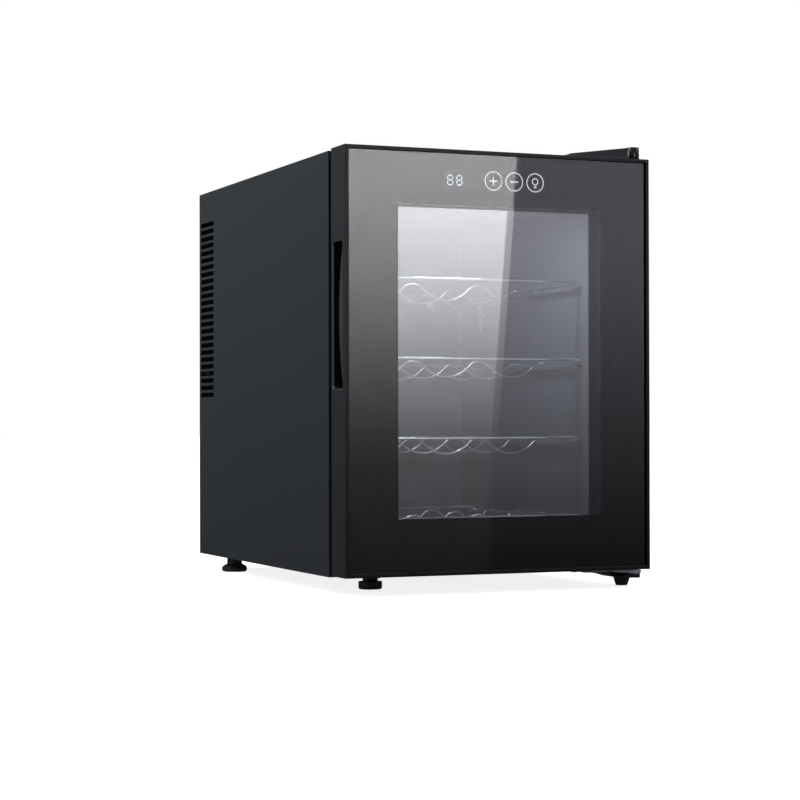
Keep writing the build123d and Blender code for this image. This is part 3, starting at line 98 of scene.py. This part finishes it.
def object_noise(tree, scale, stretch=(1, 1, 1), detail=3.0, roughness=0.5):
    """Noise in the object's own metres; scale is in features per metre."""
    place = add_node(tree, "ShaderNodeTexCoord")
    mapping = add_node(tree, "ShaderNodeMapping", Scale=stretch)
    noise = add_node(tree, "ShaderNodeTexNoise", Scale=scale, Detail=detail, Roughness=roughness)
    tree.links.new(place.outputs["Object"], mapping.inputs["Vector"])
    tree.links.new(mapping.outputs["Vector"], noise.inputs["Vector"])
    return noise.outputs["Fac"]


def ramp(tree, value, stops):
    """A colour ramp from (position, colour) pairs."""
    node = add_node(tree, "ShaderNodeValToRGB")
    elements = node.color_ramp.elements
    while len(elements) < len(stops):
        elements.new(0.5)
    for element, (position, colour) in zip(elements, stops):
        element.position = position
        element.color = (*colour, 1)
    tree.links.new(value, node.inputs["Fac"])
    return node.outputs["Color"]


def spread(tree, value, low, high):
    """Map a noise value onto the range low to high."""
    node = add_node(tree, "ShaderNodeMapRange")
    node.inputs["From Min"].default_value = 0.3
    node.inputs["From Max"].default_value = 0.7
    node.inputs["To Min"].default_value = low
    node.inputs["To Max"].default_value = high
    tree.links.new(value, node.inputs["Value"])
    return node.outputs["Result"]


def bump(tree, shader, height, strength, distance):
    """Drive the shader's normal from a height."""
    node = add_node(tree, "ShaderNodeBump", Strength=strength, Distance=distance)
    tree.links.new(height, node.inputs["Height"])
    tree.links.new(node.outputs["Normal"], shader.inputs["Normal"])


def shade(colour, factor):
    """A colour made darker or lighter by a factor."""
    return tuple(min(1.0, c * factor) for c in colour)


def surface(name, colour, roughness, metallic=0.0, variation=0.12, patch=9.0,
            grain=900.0, grain_strength=0.15, grain_depth=0.00015, stretch=(1, 1, 1),
            specular=0.5):
    """A general finish: patchy colour, uneven roughness and a fine grain in relief."""
    material, tree, shader, _ = new_material(name)
    patches = object_noise(tree, patch, detail=4.0)
    tree.links.new(
        ramp(tree, patches, [(0.3, shade(colour, 1 - variation)),
                             (0.7, shade(colour, 1 + variation))]),
        shader.inputs["Base Color"])
    fine = object_noise(tree, grain, stretch=stretch, detail=2.0)
    tree.links.new(spread(tree, fine, roughness * 0.9, roughness * 1.1),
                   shader.inputs["Roughness"])
    bump(tree, shader, fine, grain_strength, grain_depth)
    shader.inputs["Metallic"].default_value = metallic
    shader.inputs["Specular IOR Level"].default_value = specular
    return material


# Indices of refraction: the front pane and the inks behind it, and the coated rear pane
PANE_IOR = 1.553
COATED_IOR = 1.758
GLASS_TINT = (0.90, 0.905, 0.92)
GLASS_SMUDGE = 0.004
INK_ROUGHNESS = 0.02

# The clear window in the printed border, in the door's plane: low and high corners
WINDOW_LOW = Vector((-0.1145, 0, 0.0780))
WINDOW_HIGH = Vector((0.1145, 0, 0.3955))
WINDOW_SHIFT = Vector((-0.0010, 0, 0))     # the pane bends the view by this much


def over_window(tree):
    """1 where the front pane lies over the clear window, 0 over the printed border."""
    to_object = frame["nodes"]["door_glass_front"].matrix_world.inverted()
    low, high = [to_object @ (corner + WINDOW_SHIFT) for corner in (WINDOW_LOW, WINDOW_HIGH)]
    place = add_node(tree, "ShaderNodeTexCoord")
    split = add_node(tree, "ShaderNodeSeparateXYZ")
    tree.links.new(place.outputs["Object"], split.inputs["Vector"])
    within = []
    for axis, index in (("X", 0), ("Z", 2)):
        test = add_node(tree, "ShaderNodeMath", operation="COMPARE")
        test.inputs[1].default_value = (low[index] + high[index]) / 2
        test.inputs[2].default_value = abs(high[index] - low[index]) / 2
        tree.links.new(split.outputs[axis], test.inputs[0])
        within.append(test.outputs["Value"])
    both = add_node(tree, "ShaderNodeMath", operation="MULTIPLY")
    tree.links.new(within[0], both.inputs[0])
    tree.links.new(within[1], both.inputs[1])
    return both.outputs["Value"]


def clear_glass(name, ior, bonded=False):
    """Glass that mirrors and bends what is seen through it, but lets light pass straight.

    Bonded glass has its back face against the print and the spacer. Over the window only
    its front face mirrors, and over the print the glossy ink mirrors in its place.
    """
    material, tree, shader, output = new_material(name)
    shader.inputs["Base Color"].default_value = (*GLASS_TINT, 1)
    shader.inputs["Transmission Weight"].default_value = 1.0
    shader.inputs["IOR"].default_value = ior
    wipes = object_noise(tree, 14.0, stretch=(1, 1, 3), detail=5.0)
    tree.links.new(spread(tree, wipes, GLASS_SMUDGE * 0.5, GLASS_SMUDGE),
                   shader.inputs["Roughness"])
    through = add_node(tree, "ShaderNodeBsdfTransparent")
    through.inputs["Color"].default_value = (*GLASS_TINT, 1)
    path = add_node(tree, "ShaderNodeLightPath")
    either = add_node(tree, "ShaderNodeMath", operation="MAXIMUM")
    mix = add_node(tree, "ShaderNodeMixShader")
    tree.links.new(path.outputs["Is Shadow Ray"], either.inputs[0])
    tree.links.new(path.outputs["Is Diffuse Ray"], either.inputs[1])
    tree.links.new(either.outputs["Value"], mix.inputs["Fac"])
    tree.links.new(shader.outputs["BSDF"], mix.inputs[1])
    tree.links.new(through.outputs["BSDF"], mix.inputs[2])
    tree.links.new(mix.outputs["Shader"], output.inputs["Surface"])
    if bonded:
        leaving = add_node(tree, "ShaderNodeBsdfRefraction", IOR=ior)
        leaving.inputs["Color"].default_value = (*GLASS_TINT, 1)
        facing = add_node(tree, "ShaderNodeNewGeometry")
        inside = add_node(tree, "ShaderNodeMixShader")
        tree.links.new(facing.outputs["Backfacing"], inside.inputs["Fac"])
        tree.links.new(shader.outputs["BSDF"], inside.inputs[1])
        tree.links.new(leaving.outputs["BSDF"], inside.inputs[2])
        printed = add_node(tree, "ShaderNodeBsdfRefraction", IOR=ior)
        printed.inputs["Color"].default_value = (1, 1, 1, 1)
        zone = add_node(tree, "ShaderNodeMixShader")
        tree.links.new(over_window(tree), zone.inputs["Fac"])
        tree.links.new(printed.outputs["BSDF"], zone.inputs[1])
        tree.links.new(inside.outputs["Shader"], zone.inputs[2])
        tree.links.new(zone.outputs["Shader"], mix.inputs[1])
    return material


def glossy_ink(material):
    """Give a print behind the front pane that pane's own mirror finish."""
    shader = material.node_tree.nodes["Principled BSDF"]
    for name in ("Roughness", "Normal"):
        for link in list(shader.inputs[name].links):
            material.node_tree.links.remove(link)
    shader.inputs["Roughness"].default_value = INK_ROUGHNESS
    shader.inputs["IOR"].default_value = PANE_IOR
    shader.inputs["Specular IOR Level"].default_value = 0.5
    return material


def glowing(name, colour, glow, strength):
    """A moulded diffuser or light segment that shines, or a print given a painted glow with no
    lamp behind it.
    """
    material, tree, shader, _ = new_material(name)
    cloud = object_noise(tree, 60.0)
    tree.links.new(ramp(tree, cloud, [(0.3, shade(colour, 0.92)), (0.7, colour)]),
                   shader.inputs["Base Color"])
    tree.links.new(ramp(tree, cloud, [(0.3, shade(glow, 0.9)), (0.7, glow)]),
                   shader.inputs["Emission Color"])
    shader.inputs["Emission Strength"].default_value = strength
    shader.inputs["Roughness"].default_value = 0.35
    return material


# ---------------------------------------------------------------- finishes, one per slot
FINISHES = {
    "cabinet_paint": lambda n: surface(n, (0.0055, 0.0080, 0.0100), 0.40, patch=3.0,
                                       grain=700.0, grain_strength=0.12),
    "bare_steel": lambda n: surface(n, (0.55, 0.56, 0.58), 0.35, metallic=1.0,
                                    stretch=(0.05, 1, 1), grain_strength=0.1),
    "zinc_steel": lambda n: surface(n, (0.62, 0.63, 0.66), 0.28, metallic=1.0, patch=80.0,
                                    variation=0.15, grain_strength=0.1),
    "liner_plastic": lambda n: surface(n, (0.045, 0.048, 0.054), 0.42, patch=5.0, variation=0.05,
                                       grain=420.0, grain_strength=0.05),
    "foam": lambda n: surface(n, (0.80, 0.70, 0.42), 0.9, grain=500.0, grain_strength=0.5,
                              grain_depth=0.0005),
    "lens_plastic": lambda n: glowing(n, (0.9, 0.93, 0.97), (0.88, 0.94, 1.0), 1.0),
    "circuit_board": lambda n: surface(n, (0.02, 0.13, 0.05), 0.4, patch=160.0, variation=0.35),
    "component_plastic": lambda n: surface(n, (0.012, 0.012, 0.014), 0.45, patch=40.0),
    "aluminium": lambda n: surface(n, (0.74, 0.75, 0.77), 0.3, metallic=1.0,
                                   stretch=(1, 1, 0.05), grain_strength=0.1),
    "ceramic": lambda n: surface(n, (0.85, 0.85, 0.82), 0.6),
    "fan_plastic": lambda n: surface(n, (0.010, 0.010, 0.011), 0.45),
    "cover_plastic": lambda n: surface(n, (0.040, 0.042, 0.047), 0.42, patch=6.0, variation=0.05,
                                       grain=500.0, grain_strength=0.1),
    "black_plastic": lambda n: surface(n, (0.0045, 0.0050, 0.0060), 0.24, patch=12.0,
                                       grain=1200.0, grain_strength=0.05),
    "door_plastic": lambda n: surface(n, (0.0035, 0.0045, 0.0055), 0.34, patch=4.0,
                                      grain=900.0, grain_strength=0.08, specular=0.28),
    "brass_pins": lambda n: surface(n, (0.78, 0.62, 0.34), 0.25, metallic=1.0),
    "glass": lambda n: clear_glass(n, PANE_IOR, bonded=True),
    "black_ink": lambda n: glossy_ink(surface(n, (0.0035, 0.0033, 0.0045), 0.6, patch=30.0)),
    # the touch icons are white print with a painted glow: their emission brightens them, though
    # no lamp shines through them
    "icon_ink": lambda n: glossy_ink(glowing(n, (0.55, 0.56, 0.58), (0.90, 0.93, 0.96), 0.55)),
    "digit_light": lambda n: glossy_ink(glowing(n, (0.6, 0.63, 0.66), (0.80, 0.88, 0.95), 0.75)),
    "gasket_rubber": lambda n: surface(n, (0.012, 0.012, 0.013), 0.6, grain=1500.0),
    "magnet": lambda n: surface(n, (0.05, 0.035, 0.03), 0.7),
    "nylon": lambda n: surface(n, (0.78, 0.78, 0.74), 0.4),
    "chrome_wire": lambda n: surface(n, (0.80, 0.81, 0.82), 0.10, metallic=1.0, patch=70.0,
                                     variation=0.06, grain_strength=0.02),
    "foot_rubber": lambda n: surface(n, (0.008, 0.008, 0.0085), 0.65, grain=1500.0),
}

materials = {slot: build(slot) for slot, build in FINISHES.items()}
# Pieces whose finish is their own rather than their slot's
OWN_FINISHES = {
    "display_module": glossy_ink(surface("display_face", (0.085, 0.090, 0.100), 0.55,
                                         patch=60.0, variation=0.06)),
    "upper_hinge_cover": surface("hinge_gloss", (0.0040, 0.0045, 0.0055), 0.12, patch=12.0,
                                 grain=1200.0, grain_strength=0.03, specular=0.45),
    "door_glass_rear": clear_glass("coated_glass", COATED_IOR),
}
for entry in frame["record"]["subparts"]:
    finish = OWN_FINISHES.get(entry["node"], materials[entry["material_slot"]])
    for socket in frame["nodes"][entry["node"]].material_slots:
        socket.material = finish


# ---------------------------------------------------------------- rounded edges
WELD_DISTANCE = 0.00002
EDGE_ANGLE = math.radians(38)      # an edge that turns by more than this is rounded
EDGE_SEGMENTS = 2
EDGE_RADII = {"handle_grip": 0.0006, "handle_cup": 0.0004, "door_frame": 0.0006,
              "upper_hinge_cover": 0.0005, "lower_hinge_cover": 0.0004}


def round_edges(name, radius):
    """Break the sharp edges of a moulded piece so they catch a thin line of light."""
    piece = frame["nodes"][name]
    weld = piece.modifiers.new("weld", "WELD")
    weld.merge_threshold = WELD_DISTANCE
    bevel = piece.modifiers.new("round", "BEVEL")
    bevel.width = radius
    bevel.segments = EDGE_SEGMENTS
    bevel.limit_method = "ANGLE"
    bevel.angle_limit = EDGE_ANGLE
    bevel.harden_normals = True


for edge_name, edge_radius in EDGE_RADII.items():
    round_edges(edge_name, edge_radius)


PRINT_GAP = 0.00002


def stand_off(name):
    """Draw a printed piece in by a hair, so that it doesn't share a plane with the glass."""
    shrink = frame["nodes"][name].modifiers.new("stand_off", "DISPLACE")
    shrink.direction = "NORMAL"
    shrink.mid_level = 0.0
    shrink.strength = -PRINT_GAP


for printed in ("glass_mask", "touch_icons", "display_digits", "display_module"):
    stand_off(printed)


# ---------------------------------------------------------------- studio
def card_material(name, stops, strength):
    """A light card seen only in reflections, with its brightness set by height."""
    material = bpy.data.materials.new(name)
    material.use_nodes = True
    tree = material.node_tree
    tree.nodes.clear()
    place = add_node(tree, "ShaderNodeTexCoord")
    split = add_node(tree, "ShaderNodeSeparateXYZ")
    emission = add_node(tree, "ShaderNodeEmission", Strength=strength)
    open_air = add_node(tree, "ShaderNodeBsdfTransparent")
    mix = add_node(tree, "ShaderNodeMixShader")
    output = add_node(tree, "ShaderNodeOutputMaterial")
    tree.links.new(place.outputs["Generated"], split.inputs["Vector"])
    tree.links.new(ramp(tree, split.outputs["Z"], stops), emission.inputs["Color"])
    tree.links.new(reflected(tree), mix.inputs["Fac"])
    tree.links.new(open_air.outputs["BSDF"], mix.inputs[1])
    tree.links.new(emission.outputs["Emission"], mix.inputs[2])
    tree.links.new(mix.outputs["Shader"], output.inputs["Surface"])
    return material


def panel(name, corners, material):
    """A flat four-cornered studio panel."""
    mesh = bpy.data.meshes.new(name)
    mesh.from_pydata(corners, [], [tuple(range(len(corners)))])
    mesh.materials.append(material)
    item = bpy.data.objects.new(name, mesh)
    scene.collection.objects.link(item)
    return item


FLOOR_REACH = 30.0
FLOOR_GLOW = 0.85


def add_floor():
    """A pale glowing floor that fades into the white studio and that mirrored rays pass."""
    material, tree, shader, output = new_material("studio_floor")
    soft = object_noise(tree, 2.0)
    tree.links.new(ramp(tree, soft, [(0.3, (0.90, 0.90, 0.91)), (0.7, (0.93, 0.93, 0.93))]),
                   shader.inputs["Base Color"])
    shader.inputs["Roughness"].default_value = 0.9
    shader.inputs["Specular IOR Level"].default_value = 0.0
    shader.inputs["Emission Color"].default_value = (1, 1, 1, 1)
    shader.inputs["Emission Strength"].default_value = FLOOR_GLOW
    open_air = add_node(tree, "ShaderNodeBsdfTransparent")
    mix = add_node(tree, "ShaderNodeMixShader")
    tree.links.new(reflected(tree), mix.inputs["Fac"])
    tree.links.new(shader.outputs["BSDF"], mix.inputs[1])
    tree.links.new(open_air.outputs["BSDF"], mix.inputs[2])
    tree.links.new(mix.outputs["Shader"], output.inputs["Surface"])
    reach = FLOOR_REACH
    floor = panel("floor", [(-reach, -reach, 0), (reach, -reach, 0), (reach, reach, 0),
                            (-reach, reach, 0)], material)
    floor.visible_diffuse = False


def add_world():
    """White to the camera, also through glass; to other rays a room, lighter overhead."""
    world = bpy.data.worlds.new("studio")
    world.use_nodes = True
    scene.world = world
    tree = world.node_tree
    tree.nodes.clear()
    place = add_node(tree, "ShaderNodeTexCoord")
    split = add_node(tree, "ShaderNodeSeparateXYZ")
    tree.links.new(place.outputs["Generated"], split.inputs["Vector"])
    height = add_node(tree, "ShaderNodeMapRange")
    height.inputs["From Min"].default_value = -1.0
    tree.links.new(split.outputs["Z"], height.inputs["Value"])
    room = add_node(tree, "ShaderNodeBackground")
    tree.links.new(ramp(tree, height.outputs["Result"],
                        [(0.0, (0.05, 0.05, 0.055)), (0.46, (0.10, 0.105, 0.12)),
                         (0.57, (0.30, 0.33, 0.36)), (1.0, (0.60, 0.61, 0.63))]),
                   room.inputs["Color"])
    white = add_node(tree, "ShaderNodeBackground")
    white.inputs["Color"].default_value = (1, 1, 1, 1)
    path = add_node(tree, "ShaderNodeLightPath")
    seen = add_node(tree, "ShaderNodeMath", operation="MAXIMUM")
    straight = add_node(tree, "ShaderNodeMath", operation="SUBTRACT", use_clamp=True)
    mix = add_node(tree, "ShaderNodeMixShader")
    output = add_node(tree, "ShaderNodeOutputWorld")
    tree.links.new(path.outputs["Is Camera Ray"], seen.inputs[0])
    tree.links.new(path.outputs["Is Transmission Ray"], seen.inputs[1])
    tree.links.new(seen.outputs["Value"], straight.inputs[0])
    tree.links.new(reflected(tree), straight.inputs[1])
    tree.links.new(straight.outputs["Value"], mix.inputs["Fac"])
    tree.links.new(room.outputs["Background"], mix.inputs[1])
    tree.links.new(white.outputs["Background"], mix.inputs[2])
    tree.links.new(mix.outputs["Shader"], output.inputs["Surface"])


def add_softbox(name, place, target, size, power, colour=(1, 1, 1)):
    """A rectangular area lamp turned towards a point."""
    data = bpy.data.lights.new(name, "AREA")
    data.shape = "RECTANGLE"
    data.size, data.size_y = size
    data.energy = power
    data.color = colour
    lamp = bpy.data.objects.new(name, data)
    aim = Vector(target) - Vector(place)
    lamp.location = place
    lamp.rotation_euler = aim.to_track_quat("-Z", "Y").to_euler()
    scene.collection.objects.link(lamp)


def hide_from_view(card):
    """Leave a card to mirrored rays alone."""
    card.visible_camera = False
    card.visible_diffuse = False
    card.visible_shadow = False


# Brightness of the reflection card's two parts against height, floor end first
BRIGHT_FADE = [(0.06, 0.030), (0.20, 0.052), (0.29, 0.070), (0.37, 0.115), (0.46, 0.20),
               (0.55, 0.32), (0.72, 0.63), (0.81, 0.77), (0.90, 0.92), (0.97, 1.0)]
DIM_FADE = [(0.06, 0.018), (0.20, 0.036), (0.37, 0.072), (0.55, 0.125), (0.72, 0.185),
            (0.80, 0.208), (0.97, 0.215)]
BRIGHT_BLUE = 1.015      # the blue of each part, as a share of its red and green
DIM_BLUE = 1.12
CARD_STRENGTH = 6.36
CARD_Y = -2.0
EDGE_TOP = 0.0186        # where the two parts meet on the glass, at the door's top and bottom
EDGE_BOTTOM = -0.0180
MARGIN_SIDE = 0.10       # how far the card's image runs past the glass
MARGIN_TOP = 0.0005
MARGIN_BOTTOM = 0.02


def add_reflection_card():
    """A tall lit card, in front and to the right, as wide as the camera sees it in the door.

    Its left part is bright and its right part dim, and both fade towards the floor.
    """
    glass_low, glass_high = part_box("door_glass_front")
    glass_y = glass_low[1]
    eye = scene.camera.location
    image = Vector((eye.x, 2 * glass_y - eye.y, eye.z))
    reach = (CARD_Y - image.y) / (glass_y - image.y)

    def on_card(x, z):
        """The point on the card that the camera sees mirrored at x and z on the glass."""
        return (image.x + (x - image.x) * reach, CARD_Y, image.z + (z - image.z) * reach)

    bright = card_material("card_bright", [(height, (level, level, level * BRIGHT_BLUE))
                                           for height, level in BRIGHT_FADE], CARD_STRENGTH)
    dim = card_material("card_dim", [(height, (level, level, level * DIM_BLUE))
                                     for height, level in DIM_FADE], CARD_STRENGTH)
    left, right = glass_low[0] - MARGIN_SIDE, glass_high[0] + MARGIN_SIDE
    bottom, top = glass_low[2] - MARGIN_BOTTOM, glass_high[2] + MARGIN_TOP
    cards = [
        panel("card_bright", [on_card(left, bottom), on_card(EDGE_BOTTOM, bottom),
                              on_card(EDGE_TOP, top), on_card(left, top)], bright),
        panel("card_dim", [on_card(EDGE_BOTTOM, bottom), on_card(right, bottom),
                           on_card(right, top), on_card(EDGE_TOP, top)], dim),
    ]
    for card in cards:
        hide_from_view(card)


def add_rim_card(name, node, azimuth, distance, width, height, strength):
    """An upright card that gives rounded edges a thin highlight.

    azimuth is in degrees from straight behind the piece, positive to its right.
    """
    low, high = [Vector(corner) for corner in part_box(node)]
    angle = math.radians(azimuth)
    away = Vector((math.sin(angle), math.cos(angle), 0))
    along = Vector((away.y, -away.x, 0)) * width / 2
    foot = Vector(((low.x + high.x) / 2, (low.y + high.y) / 2, height[0])) + away * distance
    rise = Vector((0, 0, height[1] - height[0]))
    material = card_material(name, [(0.0, (0.97, 0.98, 1.0)), (1.0, (1.0, 1.0, 1.0))], strength)
    hide_from_view(panel(name, [foot - along, foot + along, foot + along + rise,
                                foot - along + rise], material))


CAVITY_LAMP_SIZE = (0.08, 0.014)
CAVITY_LAMP_POWER = 0.9
CAVITY_LAMP_GAP = 0.001       # below the lens
CAVITY_LAMP_LEAN = 0.05       # how far back it aims, at the floor


def add_cavity_lamp():
    """The strip lamp under the cavity's ceiling."""
    low, high = [Vector(corner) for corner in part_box("light_lens")]
    middle = (low + high) / 2
    add_softbox("cavity_lamp", (middle.x, middle.y, low.z - CAVITY_LAMP_GAP),
                (middle.x, middle.y + CAVITY_LAMP_LEAN, 0.0), CAVITY_LAMP_SIZE,
                CAVITY_LAMP_POWER, colour=(0.93, 0.96, 1.0))


# Name, place, aim, size in metres and power in watts
SOFTBOXES = [("key", (-1.5, -0.5, 1.7), (0, 0, 0.35), (1.2, 1.2), 22),
             ("fill", (2.4, -1.2, 1.8), (0, 0, 0.2), (1.6, 1.6), 12),
             ("back", (0.6, 2.6, 2.2), (0, 0, 0.2), (2.0, 1.6), 25)]

add_floor()
add_world()
for softbox in SOFTBOXES:
    add_softbox(*softbox)
add_reflection_card()
add_rim_card("rim_left", "upper_hinge_cover", azimuth=-97.0, distance=2.2, width=0.5,
             height=(0.1, 1.3), strength=6.0)
add_cavity_lamp()
